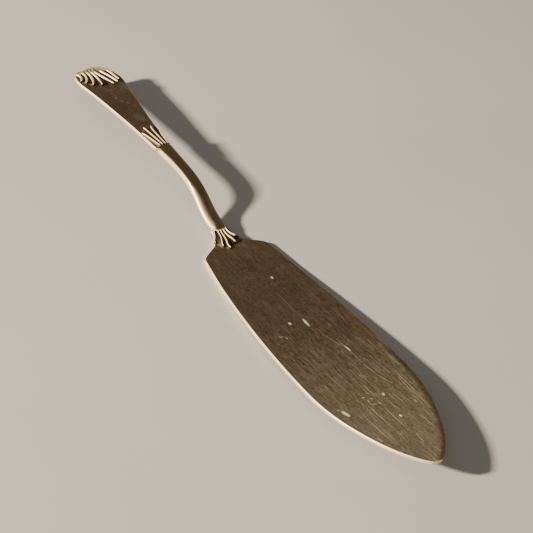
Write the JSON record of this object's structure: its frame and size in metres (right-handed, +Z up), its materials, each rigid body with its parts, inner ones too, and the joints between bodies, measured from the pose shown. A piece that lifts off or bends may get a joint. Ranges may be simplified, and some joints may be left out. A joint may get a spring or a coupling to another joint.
{
  "type": "flat cake server",
  "caption": "Silver cake server with a pointed flat blade, arched stem, flat grip and applied shell and fan castings.",
  "frame": {"origin": "under the middle of the server's overall box, on the table it rests on", "axes": "+X along the server from the end of the grip to the tip of the blade, +Y across the blade, +Z up from the table"},
  "size_m": [0.2234, 0.0388, 0.0112],
  "materials": {
    "blade_silver": "tarnished silver with fine lengthwise scratches",
    "stem_silver": "worn silver, brighter on the crests",
    "grip_silver": "mottled tarnished silver",
    "shell_silver": "cast silver, dark in the hollows",
    "grip_fan_silver": "cast silver, dark in the hollows",
    "blade_fan_silver": "cast silver, dark in the hollows"
  },
  "bodies": {
    "root": {"blade": "blade_silver", "stem": "stem_silver", "grip": "grip_silver", "terminal_shell": "shell_silver", "grip_fan": "grip_fan_silver", "blade_fan": "blade_fan_silver"}
  },
  "joints": []
}
